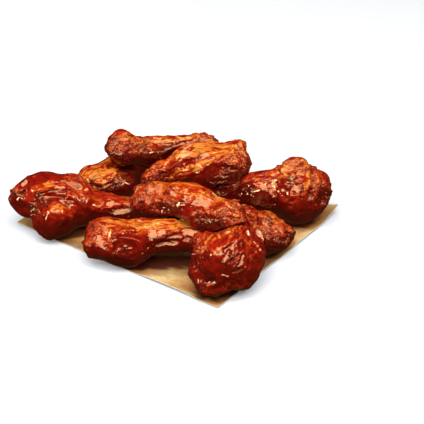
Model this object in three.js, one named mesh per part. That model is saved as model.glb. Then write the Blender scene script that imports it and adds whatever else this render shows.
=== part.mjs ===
// A serving of nine sauced chicken wing pieces, piled on a sheet of brown paper. Millimetres, +Z up.
// The pile is laid out round the middle of the paper, with +X along its long edge, and then moved so that the
// origin is below the middle of its bounding box, on the underside of the paper.
//
// Every wing is a smooth union of a few ellipsoid lobes, such as the meat, the shaft and the knuckles. A ring
// mesh is shot outwards from the wing's axis to that surface. The wings are then laid in order, from the
// bottom of the pile to the top, and where two would meet, the later one is pressed flat against the other.
import * as THREE from "three";

// --- Driving dimensions ------------------------------------------------------------

const PAPER = { length: 158, depth: 133, thickness: 0.4, columns: 15, rows: 12 };
const CURL = { reach: 26, height: 6 };       // the corner at +X +Y, lifted off the table
const CONTACT_GAP = 0.8;                     // air left between two pieces that touch

const BLEND = 1.8;                           // how softly lobes run into each other
const LUMP = { height: 1.2, size: 9.5 };     // the uneven skin all over a wing
const FOLD = { height: 0.9, count: 7, twist: 1.5 };       // skin gathered into folds along a flat
const CRAG = { height: 1.5, size: 5.5, seedStep: 50 };    // the rougher skin at the two ends of a wing
const END_ZONE = { from: 0.3, to: 0.55 };    // where that skin sets in, as shares of the span from the middle

// Rings of points round a wing, and how finely they are found and laid.
const RING = { segments: 30, capRings: 6, midRings: 12 };
const BISECTIONS = 14;                       // halvings of the last millimetre before the skin
const SLOPE_STEP = 0.2;                      // the step that measures which way the distance grows
const SETTLE_ROUNDS = 5;                     // times each point is moved clear of all its neighbours

// Sauce and skin, and the paper.
const SAUCE = { color: 0xa5330f, roughness: 0.25, metalness: 0 };
const KRAFT = { color: 0xd8b47a, roughness: 0.85, metalness: 0 };

// --- The two cuts of a wing ------------------------------------------------------------
// A lobe is an ellipsoid in the wing's own frame: where its middle is and its three half sizes. x runs along
// the wing, from 0 halfway between its two round ends. span is how far those ends are apart.

// The upper arm: a thick head at +x that narrows to a shaft with a small knuckle at -x.
function drumette(span, { head, neck, knuckle }) {
  return [
    { at: [0.47 * span, 0, 0], half: [0.50 * head, 0.48 * head, 0.46 * head] },
    { at: [0.16 * span, 0, 0], half: [0.42 * span, 0.38 * head, 0.36 * head] },
    { at: [-0.20 * span, 0, 0], half: [0.40 * span, 0.48 * neck, 0.48 * neck] },
    { at: [-0.50 * span, 0, 0], half: [0.45 * knuckle, 0.48 * knuckle, 0.44 * knuckle] },
  ];
}

// The forearm: two bones side by side under the skin, with a broad elbow at -x and a narrower wrist at +x.
function flat(span, { elbow, wrist, thick }) {
  return [
    { at: [-0.04 * span, 0.22 * elbow, 0], half: [0.62 * span, 0.24 * elbow, 0.46 * thick] },
    { at: [0.04 * span, -0.20 * elbow, 0], half: [0.62 * span, 0.22 * elbow, 0.40 * thick] },
    { at: [-0.50 * span, 0, 0], half: [0.42 * elbow, 0.48 * elbow, 0.47 * thick] },
    { at: [0.50 * span, 0, 0], half: [0.42 * wrist, 0.48 * wrist, 0.42 * thick] },
  ];
}

// --- The nine wings ------------------------------------------------------------
// From the bottom of the pile to the top. ends are the middles of the wing's -x and +x ends, roll turns it
// about its own length, in degrees. bow bends it sideways and upwards. bulges are its own extra lobes.
const WINGS = [
  {
    name: "drumette_left",
    ends: [[-18, -20, 9], [-60, -57, 17]], roll: 0, bow: [0, 0],
    cut: drumette, sizes: { head: 28, neck: 18, knuckle: 18 },
    bulges: [
      { at: [42, -4, 0], half: [11, 11, 10] },
      { at: [30, -8, 7], half: [12, 11, 10] },
      { at: [24, 13, -4], half: [13, 12, 12] },
      { at: [14, -1, 2], half: [16, 15, 14] },
      { at: [14, -12, 8], half: [9, 9, 8] },
      { at: [3, 0, 1], half: [12, 11, 10] },
    ],
    seed: 11,
  },
  {
    name: "flat_back_left",
    ends: [[-55, -15, 13], [-49, 31, 14]], roll: 0, bow: [0, 0],
    cut: flat, sizes: { elbow: 28, wrist: 24, thick: 24 },
    bulges: [
      { at: [-15, -8, 2], half: [10, 9, 9] },
      { at: [-11, -12, -1], half: [9, 9, 9] },
      { at: [-25, 7, 0], half: [10, 8, 7] },
    ],
    seed: 12,
  },
  {
    name: "drumette_right",
    ends: [[13, 20, 13], [64, 46, 19]], roll: 0, bow: [0, 0],
    cut: drumette, sizes: { head: 36, neck: 22, knuckle: 18 },
    bulges: [
      { at: [24, 7, 12], half: [11, 10, 9] },
      { at: [38, 6, 1], half: [8, 12, 11] },
      { at: [26, -3, -8], half: [12, 12, 11] },
      { at: [3, 1, 3], half: [15, 12, 12] },
    ],
    seed: 13,
  },
  {
    name: "flat_front_left",
    ends: [[-8, -64, 13], [37, -23, 12]], roll: 0, bow: [0, 0],
    cut: flat, sizes: { elbow: 24, wrist: 22, thick: 20 },
    bulges: [
      { at: [-35, -2, -2], half: [8, 8, 8] },
      { at: [-30, 3, 5], half: [10, 8, 8] },
      { at: [-18, -9, -1], half: [15, 12, 12] },
      { at: [-4, -1, 5], half: [30, 8, 6] },
    ],
    seed: 14,
  },
  {
    name: "flat_right_front",
    ends: [[72, 1, 11], [42, 11, 9]], roll: 0, bow: [0, 0],
    cut: flat, sizes: { elbow: 25, wrist: 15, thick: 20 },
    bulges: [
      { at: [-6, -1, 6], half: [9, 8, 7] },
    ],
    seed: 16,
  },
  {
    name: "drumette_front",
    ends: [[50, -11, 10], [70, -48, 20]], roll: 0, bow: [0, 0],
    cut: drumette, sizes: { head: 34, neck: 16, knuckle: 14 },
    bulges: [
      { at: [19, -9, -6], half: [12, 12, 12] },
      { at: [26, -5, -11], half: [12, 11, 9] },
      { at: [9, 14, 0], half: [12, 9, 12] },
      { at: [-2, 13, 4], half: [8, 8, 7] },
      { at: [18, 11, -8], half: [11, 10, 10] },
      { at: [0, 7, 7], half: [11, 10, 8] },
      { at: [4, -14, 1], half: [10, 10, 10] },
    ],
    seed: 15,
  },
  {
    name: "flat_centre",
    ends: [[-6, -21, 21], [52, -18, 27]], roll: 0, bow: [0, 0],
    cut: flat, sizes: { elbow: 28, wrist: 22, thick: 23 },
    bulges: [
      { at: [-1, 4, 8], half: [20, 8, 7] },
      { at: [11, -3, -1], half: [18, 10, 9] },
    ],
    seed: 17,
  },
  {
    name: "flat_right",
    ends: [[-20, 10, 21], [19, 31, 33]], roll: 0, bow: [0, 0],
    cut: flat, sizes: { elbow: 13, wrist: 24, thick: 19 },
    bulges: [
      { at: [-29, -3, 0], half: [8, 6, 6] },
      { at: [-1, 9, 6], half: [19, 7, 7] },
      { at: [2, 2, 1], half: [21, 12, 11] },
      { at: [15, -4, -7], half: [16, 11, 10] },
      { at: [24, 7, 4], half: [7, 7, 7] },
      { at: [28, 12, 3], half: [5, 5, 5] },
      { at: [24, 0, -2], half: [8, 9, 9] },
    ],
    seed: 18,
  },
  {
    name: "flat_top",
    ends: [[-47, 5, 34], [-14, 46, 30]], roll: 0, bow: [0, -3],
    cut: flat, sizes: { elbow: 22, wrist: 14, thick: 16 },
    bulges: [
      { at: [-28, 1, 3], half: [8, 8, 9] },
      { at: [-29, -1, -3], half: [9, 9, 8] },
      { at: [-16, -2, 0], half: [16, 8, 8] },
      { at: [15, -2, 4], half: [18, 5, 5] },
    ],
    seed: 19,
  },
];

// --- Seeded noise ------------------------------------------------------------

// Large odd numbers that scatter neighbouring whole numbers over the 32-bit range.
const SCATTER = [374761393, 668265263, 2147423153, 974711];
const MIX = 1274126177;
const LARGEST = 2 ** 32 - 1;

// A fixed random value between -1 and 1 for each whole-numbered point.
function latticeValue(...cell) {
  let hash = 0;
  cell.forEach((value, i) => {
    hash ^= Math.imul(value, SCATTER[i]);
  });
  hash = Math.imul(hash ^ (hash >>> 13), MIX);
  return ((hash ^ (hash >>> 16)) >>> 0) / LARGEST * 2 - 1;
}

// Smooth random value between -1 and 1 at a point, one lump for each unit of length.
function valueNoise([x, y, z], seed) {
  const base = [x, y, z].map(Math.floor);
  const [fx, fy, fz] = [x, y, z].map((value, axis) => THREE.MathUtils.smoothstep(value - base[axis], 0, 1));
  let sum = 0;
  for (const i of [0, 1]) {
    for (const j of [0, 1]) {
      for (const k of [0, 1]) {
        const weight = (i ? fx : 1 - fx) * (j ? fy : 1 - fy) * (k ? fz : 1 - fz);
        sum += weight * latticeValue(base[0] + i, base[1] + j, base[2] + k, seed);
      }
    }
  }
  return sum;
}

// --- One wing's surface ------------------------------------------------------------

// Distance from one ellipsoid, below zero inside it. Near its surface, this is close to the true distance.
function lobeDistance(point, { at, half }) {
  const scaled = point.map((value, axis) => (value - at[axis]) / half[axis]);
  const inUnits = Math.hypot(...scaled);
  const slope = Math.hypot(...scaled.map((value, axis) => value / half[axis]));
  return slope > 0 ? inUnits * (inUnits - 1) / slope : -Math.min(...half);
}

// Signed distance from the skin of a straight wing: the soft union of its lobes, with noise for its relief.
function wingDistance(point, wing) {
  const [x, y, z] = point;
  let sum = 0;
  for (const lobe of wing.lobes) {
    sum += Math.exp(-lobeDistance(point, lobe) / BLEND);
  }
  const smooth = -BLEND * Math.log(sum);
  const nearEnd = THREE.MathUtils.smoothstep(Math.abs(x) / wing.span, END_ZONE.from, END_ZONE.to);
  const relief = ({ height, size }, seed) => height * valueNoise(point.map((value) => value / size), seed);
  const lump = relief(LUMP, wing.seed);
  const crag = nearEnd * relief(CRAG, wing.seed + CRAG.seedStep);
  const turned = FOLD.count * Math.atan2(z, y) + FOLD.twist * x / LUMP.size + wing.seed;
  const fold = wing.cut === flat ? FOLD.height * (1 - nearEnd) * Math.cos(turned) : 0;
  return smooth - lump - crag - fold;
}

// The point where a ray from the wing's axis leaves the skin: whole millimetres first, then halved down.
function skinPoint(origin, direction, wing) {
  const along = (reach) => origin.map((value, axis) => value + direction[axis] * reach);
  let inside = 0;
  let outside = 1;
  while (wingDistance(along(outside), wing) < 0) {
    inside = outside;
    outside += 1;
  }
  for (let step = 0; step < BISECTIONS; step += 1) {
    const middle = (inside + outside) / 2;
    if (wingDistance(along(middle), wing) < 0) {
      inside = middle;
    } else {
      outside = middle;
    }
  }
  return along(inside);
}

// The bow of the wing, added to every point of the straight shape.
function bowAt(x, wing) {
  const share = Math.max(0, 1 - (2 * x / wing.span) ** 2);
  return wing.bow.map((rise) => rise * share);
}

// The skin of a wing as rings of points, with a single point at each end. The rings of a round end fan out.
function ringPoints(wing) {
  const { segments, capRings, midRings } = RING;
  const core = wing.span / 2;
  const points = [];
  const shoot = (x, tilt, angle) => {
    const radial = Math.cos(tilt);
    const direction = [Math.sin(tilt), radial * Math.cos(angle), radial * Math.sin(angle)];
    const [px, py, pz] = skinPoint([x, 0, 0], direction, wing);
    const [by, bz] = bowAt(px, wing);
    points.push(new THREE.Vector3(px, py + by, pz + bz));
  };
  const rings = [];
  for (let i = 1; i <= capRings; i += 1) {
    rings.push([-core, -Math.PI / 2 * (1 - i / capRings)]);
  }
  for (let i = 1; i < midRings; i += 1) {
    rings.push([-core + 2 * core * i / midRings, 0]);
  }
  for (let i = capRings; i >= 1; i -= 1) {
    rings.push([core, Math.PI / 2 * (1 - i / capRings)]);
  }
  shoot(-core, -Math.PI / 2, 0);
  for (const [x, tilt] of rings) {
    for (let j = 0; j < segments; j += 1) {
      shoot(x, tilt, 2 * Math.PI * j / segments);
    }
  }
  shoot(core, Math.PI / 2, 0);
  return { points, ringCount: rings.length };
}

// Triangles over rings of equal size, with a single point at each end.
function ringTriangles(ringCount) {
  const { segments } = RING;
  const last = 1 + ringCount * segments;
  const at = (ring, j) => 1 + ring * segments + j % segments;
  const triangles = [];
  for (let j = 0; j < segments; j += 1) {
    triangles.push(0, at(0, j + 1), at(0, j));
    triangles.push(last, at(ringCount - 1, j), at(ringCount - 1, j + 1));
    for (let ring = 0; ring < ringCount - 1; ring += 1) {
      triangles.push(at(ring, j), at(ring, j + 1), at(ring + 1, j + 1));
      triangles.push(at(ring, j), at(ring + 1, j + 1), at(ring + 1, j));
    }
  }
  return triangles;
}

// --- The pile ------------------------------------------------------------

// Height of the paper's underside: flat on the table, but for the corner that curls up.
function paperHeight(x, y) {
  const fromCorner = (PAPER.length / 2 - x) + (PAPER.depth / 2 - y);
  return CURL.height * Math.max(0, 1 - fromCorner / CURL.reach) ** 2;
}

// Signed distance of a point of the pile from a wing that lies there already.
function distanceInPile(point, laid) {
  const local = point.clone().applyMatrix4(laid.toWing);
  const [by, bz] = bowAt(local.x, laid.wing);
  return wingDistance([local.x, local.y - by, local.z - bz], laid.wing);
}

// The way out for a point that is too near a laid wing: along the slope of the distance, as far as the gap.
function wayOut(point, laid) {
  const distance = distanceInPile(point, laid);
  if (distance >= CONTACT_GAP) {
    return null;
  }
  const slope = new THREE.Vector3(
    distanceInPile(point.clone().setX(point.x + SLOPE_STEP), laid) - distance,
    distanceInPile(point.clone().setY(point.y + SLOPE_STEP), laid) - distance,
    distanceInPile(point.clone().setZ(point.z + SLOPE_STEP), laid) - distance,
  );
  return slope.setLength(CONTACT_GAP - distance);
}

// Points that are tested on each triangle besides its corners, as shares of the three: a neighbour can bulge
// between them.
const FACE_SAMPLES = [[1 / 3, 1 / 3, 1 / 3], [0.5, 0.5, 0], [0, 0.5, 0.5], [0.5, 0, 0.5]];

// Presses the skin of a new wing flat wherever it would enter the pile or the paper.
function settle(points, triangles, pile) {
  for (let round = 0; round < SETTLE_ROUNDS; round += 1) {
    for (const laid of pile) {
      for (const point of points) {
        const move = wayOut(point, laid);
        if (move) {
          point.add(move);
        }
      }
      for (let i = 0; i < triangles.length; i += 3) {
        const corners = triangles.slice(i, i + 3).map((index) => points[index]);
        for (const share of FACE_SAMPLES) {
          const probe = new THREE.Vector3();
          corners.forEach((corner, k) => probe.addScaledVector(corner, share[k]));
          const move = wayOut(probe, laid);
          if (move) {
            corners.forEach((corner) => corner.add(move));
          }
        }
      }
    }
    for (const point of points) {
      point.z = Math.max(point.z, paperHeight(point.x, point.y) + PAPER.thickness + CONTACT_GAP);
    }
  }
}

function geometryFrom(points, triangles) {
  const geometry = new THREE.BufferGeometry().setFromPoints(points);
  geometry.setIndex(triangles);
  geometry.computeVertexNormals();
  return geometry;
}

// Builds one wing at its place, settles it on the pile and adds it there.
function layWing(wing, pile) {
  const { points, ringCount } = ringPoints(wing);
  const [tail, head] = wing.ends.map((end) => new THREE.Vector3(...end));
  const along = head.clone().sub(tail).normalize();
  const mesh = new THREE.Mesh(undefined, new THREE.MeshStandardMaterial(SAUCE));
  mesh.name = wing.name;
  mesh.position.lerpVectors(tail, head, 0.5);
  mesh.rotation.order = "ZYX";
  mesh.rotation.set(
    THREE.MathUtils.degToRad(wing.roll),
    -Math.asin(along.z),
    Math.atan2(along.y, along.x),
  );
  mesh.updateMatrix();
  const toWing = mesh.matrix.clone().invert();
  const triangles = ringTriangles(ringCount);
  points.forEach((point) => point.applyMatrix4(mesh.matrix));
  settle(points, triangles, pile);
  points.forEach((point) => point.applyMatrix4(toWing));
  mesh.geometry = geometryFrom(points, triangles);
  pile.push({ wing, toWing });
  return mesh;
}

// --- The paper ------------------------------------------------------------

// A thin sheet: the same grid of points on both faces, split into triangles alike, and joined at the rim.
function paperMesh() {
  const { length, depth, thickness, columns, rows } = PAPER;
  const points = [];
  for (const level of [0, thickness]) {
    for (let row = 0; row <= rows; row += 1) {
      for (let column = 0; column <= columns; column += 1) {
        const x = length * (column / columns - 0.5);
        const y = depth * (row / rows - 0.5);
        points.push(new THREE.Vector3(x, y, paperHeight(x, y) + level));
      }
    }
  }
  const at = (level, row, column) => (level * (rows + 1) + row) * (columns + 1) + column;
  const triangles = [];
  for (let row = 0; row < rows; row += 1) {
    for (let column = 0; column < columns; column += 1) {
      const corners = [[row, column], [row, column + 1], [row + 1, column + 1], [row + 1, column]];
      const [a, b, c, d] = corners.map(([r, k]) => at(1, r, k));
      triangles.push(a, b, c, a, c, d);
      const [e, f, g, h] = corners.map(([r, k]) => at(0, r, k));
      triangles.push(e, g, f, e, h, g);
    }
  }
  const rim = [];
  for (let column = 0; column < columns; column += 1) {
    rim.push([0, column]);
  }
  for (let row = 0; row < rows; row += 1) {
    rim.push([row, columns]);
  }
  for (let column = columns; column > 0; column -= 1) {
    rim.push([rows, column]);
  }
  for (let row = rows; row > 0; row -= 1) {
    rim.push([row, 0]);
  }
  rim.forEach(([row, column], i) => {
    const [nextRow, nextColumn] = rim[(i + 1) % rim.length];
    const [low, lowNext] = [at(0, row, column), at(0, nextRow, nextColumn)];
    const [high, highNext] = [at(1, row, column), at(1, nextRow, nextColumn)];
    triangles.push(low, lowNext, highNext, low, highNext, high);
  });
  const mesh = new THREE.Mesh(geometryFrom(points, triangles), new THREE.MeshStandardMaterial(KRAFT));
  mesh.name = "brown_paper";
  return mesh;
}

// --- The serving ------------------------------------------------------------

const layout = new THREE.Group();
layout.add(paperMesh());
const pile = [];
for (const wing of WINGS) {
  const span = Math.hypot(...wing.ends[0].map((value, axis) => wing.ends[1][axis] - value));
  layout.add(layWing({ ...wing, span, lobes: [...wing.cut(span, wing.sizes), ...wing.bulges] }, pile));
}
const middle = new THREE.Box3().setFromObject(layout, true).getCenter(new THREE.Vector3());
layout.position.set(-middle.x, -middle.y, 0);

const serving = new THREE.Group();
serving.add(layout);

export default serving;
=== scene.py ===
# %% [markdown]
# # A serving of sauced chicken wings
#
# Nine wing pieces lie in a loose pile on a sheet of brown paper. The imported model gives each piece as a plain
# solid, at its true place and size. This script dresses those solids: every wing gets wrinkled, roasted skin
# under a thick glossy sauce, and the sheet gets the fibres and grease of real wrapping paper. Each step is a
# cell of its own, and says first what the real thing is and how it could be made.

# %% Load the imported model
import math
from collections import namedtuple
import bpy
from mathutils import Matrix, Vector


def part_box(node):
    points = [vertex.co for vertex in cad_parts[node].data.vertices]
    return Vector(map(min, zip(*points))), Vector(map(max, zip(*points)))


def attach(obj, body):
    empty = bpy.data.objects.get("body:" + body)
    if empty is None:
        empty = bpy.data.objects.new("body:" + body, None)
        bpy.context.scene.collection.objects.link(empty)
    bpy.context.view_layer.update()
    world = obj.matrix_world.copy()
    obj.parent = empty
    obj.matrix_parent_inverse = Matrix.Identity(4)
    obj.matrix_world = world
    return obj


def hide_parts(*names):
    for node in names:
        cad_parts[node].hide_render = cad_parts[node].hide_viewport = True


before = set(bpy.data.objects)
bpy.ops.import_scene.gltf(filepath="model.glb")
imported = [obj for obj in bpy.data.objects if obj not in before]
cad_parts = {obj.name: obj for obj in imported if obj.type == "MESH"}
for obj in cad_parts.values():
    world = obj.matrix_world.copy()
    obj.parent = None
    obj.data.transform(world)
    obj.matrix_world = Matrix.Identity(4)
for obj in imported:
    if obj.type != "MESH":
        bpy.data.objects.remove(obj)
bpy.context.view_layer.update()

from types import SimpleNamespace

import bmesh
import bpy
import numpy as np
from mathutils import Vector
from mathutils.bvhtree import BVHTree

MM = 0.001
BODY = "root"
print("nodes:", ", ".join(sorted(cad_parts)))

# %% [markdown]
# ## Camera
#
# The camera looks down on the pile over one corner of the sheet, from well back, so that the pieces keep their
# true proportions. A lens is easiest to think of in picture widths: the focal length in pixels, divided by the
# width of the picture, is the lens length divided by the width of the sensor.

# %% Camera
PICTURE_SIDE = 424
FOCAL_PIXELS = 1300
SENSOR = 36.0
AZIMUTH = math.radians(36.04)
ELEVATION = math.radians(31.0)
DISTANCE = 842 * MM
AIM_FROM_SHEET = Vector((12.65, 19.04, 0.0)) * MM


def towards(azimuth, elevation):
    """A direction from the pile, turned from the -Y axis by the azimuth and raised by the elevation."""
    flat = math.cos(elevation)
    return np.array([math.sin(azimuth) * flat, -math.cos(azimuth) * flat, math.sin(elevation)])


def new_object(name, data):
    """An object in the scene for this mesh, light or camera."""
    made = bpy.data.objects.new(name, data)
    bpy.context.scene.collection.objects.link(made)
    return made


def look_back(made, start, direction, distance):
    """Places a light or camera this far from the start, so that it looks back at it."""
    made.location = start + distance * direction
    made.rotation_euler = direction.to_track_quat("Z", "Y").to_euler()


sheet_low, sheet_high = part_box("brown_paper")
sheet_middle = (sheet_low + sheet_high) / 2
sheet_middle.z = 0
camera_data = bpy.data.cameras.new("camera")
camera_data.sensor_width = SENSOR
camera_data.lens = SENSOR * FOCAL_PIXELS / PICTURE_SIDE
camera = new_object("camera", camera_data)
look_back(camera, sheet_middle + AIM_FROM_SHEET, Vector(towards(AZIMUTH, ELEVATION)), DISTANCE)
bpy.context.scene.camera = camera
print(f"lens {camera_data.lens:.1f} mm, {DISTANCE:.2f} m away")

# %% [markdown]
# ## Random relief
#
# Skin, crumbs and grease are uneven in the same way each time the script runs, so the noise is computed here
# from a seed. Gradient noise places a random slope at each point of a lattice and blends between them. Adding
# it to itself at ever smaller sizes gives lumps within lumps. Folding it at zero turns it into sharp creases.
# The numbers that are added to a seed only keep one draw apart from the next.

# %% Noise
SCATTER = np.array([374761393, 668265263, 2147423153, 974711], np.int64)
MIXER = 1274126177
WORD = 0xFFFFFFFF


def scatter(cells, seed):
    """A fixed random number from 0 to 1 for each whole-numbered point."""
    keys = (cells @ SCATTER[:3] + seed * SCATTER[3]) & WORD
    keys = ((keys ^ (keys >> 13)) * MIXER) & WORD
    keys = ((keys ^ (keys >> 15)) * MIXER) & WORD
    return (keys ^ (keys >> 16)) / WORD


CORNERS = np.array([[i, j, k] for i in (0, 1) for j in (0, 1) for k in (0, 1)])
NEIGHBOURS = np.array([[i, j, k] for i in (-1, 0, 1) for j in (-1, 0, 1) for k in (-1, 0, 1)])
GRADIENT_GAIN = 1.6


def noise(points, size, seed):
    """Gradient noise from about -1 to 1, with lumps of this size. A size per axis stretches them."""
    scaled = points / size
    cells = np.floor(scaled).astype(np.int64)
    inner = scaled - cells
    eased = inner ** 3 * (inner * (inner * 6 - 15) + 10)
    total = np.zeros(len(points))
    for corner in CORNERS:
        slope = np.stack([scatter(cells + corner, seed + 101 * axis) * 2 - 1 for axis in range(3)], 1)
        weight = np.prod(np.where(corner, eased, 1 - eased), 1)
        total += weight * np.sum(slope * (inner - corner), 1)
    return total * GRADIENT_GAIN


def layered(points, size, seed, layers=3):
    """Noise added to itself at half the size and half the height, several times."""
    return sum(noise(points, size / 2 ** n, seed + 17 * n) / 2 ** n for n in range(layers))


def creases(points, size, seed, layers=3):
    """Ridges from 0 in the hollows to about 1 on their crests."""
    total = 0
    for n in range(layers):
        total = total + (1 - np.abs(noise(points, size / 2 ** n, seed + 31 * n))) ** 2 / 2 ** n
    return total / (2 - 0.5 ** (layers - 1))


def cell_distance(points, size, seed):
    """Distance to the nearest of a jittered lattice of points, in units of its size."""
    scaled = points / size
    cells = np.floor(scaled).astype(np.int64)
    nearest = np.full(len(points), np.inf)
    for offset in NEIGHBOURS:
        cell = cells + offset
        spot = cell + np.stack([scatter(cell, seed + 7 * axis) for axis in range(3)], 1)
        nearest = np.minimum(nearest, np.linalg.norm(scaled - spot, axis=1))
    return nearest


def ease(values, low, high):
    """0 below low, 1 above high, and a smooth step between. low may be the larger of the two."""
    share = np.clip((values - low) / (high - low), 0, 1)
    return share * share * (3 - 2 * share)


print("noise at one point:", noise(np.array([[1.5, 2.5, 3.5]]), 4.0, 1).round(3))

# %% [markdown]
# ## From solid to skin
#
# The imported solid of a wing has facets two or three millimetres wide. Real skin needs a far finer mesh with
# even, small faces, and that is what a voxel remesh makes. The solid is welded and smoothed first, so that its
# facets are gone before the fine mesh is laid over it.

# %% A fine mesh over a solid
SMOOTHING_LEVELS = 2
VOXEL = 0.45 * MM
WELD = 0.01 * MM


def fine_copy(node, name):
    """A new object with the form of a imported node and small, even faces."""
    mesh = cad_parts[node].data.copy()
    mesh.materials.clear()
    welded = bmesh.new()
    welded.from_mesh(mesh)
    bmesh.ops.remove_doubles(welded, verts=welded.verts, dist=WELD)
    welded.to_mesh(mesh)
    welded.free()
    rough = new_object(name + "_rough", mesh)
    smoothing = rough.modifiers.new("smooth", "SUBSURF")
    smoothing.levels = SMOOTHING_LEVELS
    remesh = rough.modifiers.new("remesh", "REMESH")
    remesh.mode = "VOXEL"
    remesh.voxel_size = VOXEL
    evaluated = rough.evaluated_get(bpy.context.evaluated_depsgraph_get())
    fine = bpy.data.meshes.new_from_object(evaluated)
    bpy.data.objects.remove(rough)
    fine.name = name
    return new_object(name, fine)


def read_vectors(items, what):
    """One row of three numbers for each vertex, such as its place or its normal."""
    values = np.empty(len(items) * 3)
    items.foreach_get(what, values)
    return values.reshape(-1, 3)


def write_mask(mesh, name, values):
    """Keeps one number for each vertex, for the material to read."""
    mask = mesh.attributes.new(name, "FLOAT", "POINT")
    mask.data.foreach_set("value", values.astype(np.float32))


# %% [markdown]
# ## The skin of a wing
#
# Roasted wing skin has relief of four kinds. Long folds run from joint to joint, most of all on the flats.
# Towards the joints and where the coating is thick it breaks up into crags. Small follicle bumps sit all over
# it. And sauce fills all of that wherever it has pooled, which leaves smooth, mirror-bright patches. One could
# sculpt this by hand, but nine pieces are quicker and more varied from a recipe: each kind is noise of its own
# size, turned to lie along the wing, and a mask says where it shows.

# %% How each wing differs
# folds, wrinkles, crags: the height of the long folds, the broad ones and the broken skin, in millimetres.
# rough: how far the crags spread from the ends. roast: how much thin, orange skin shows on top.
# seed: the draw.
Look = namedtuple("Look", "folds wrinkles crags rough roast seed")
LOOKS = {
    "drumette_left": Look(0.6, 0.9, 1.5, 0.20, 0.45, 21),
    "flat_back_left": Look(0.8, 0.6, 2.0, 0.45, 0.60, 22),
    "drumette_right": Look(0.7, 1.3, 2.5, 0.30, 0.40, 23),
    "flat_front_left": Look(0.9, 0.7, 1.6, 0.25, 0.55, 24),
    "flat_right_front": Look(0.7, 1.0, 2.1, 0.60, 0.50, 26),
    "drumette_front": Look(0.9, 1.3, 1.9, 0.10, 0.45, 25),
    "flat_centre": Look(0.9, 0.7, 2.0, 0.35, 0.50, 27),
    "flat_right": Look(1.2, 0.7, 2.2, 0.40, 0.68, 28),
    "flat_top": Look(1.0, 0.6, 2.2, 0.40, 0.42, 29),
}
print("wings:", len(LOOKS))
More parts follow.
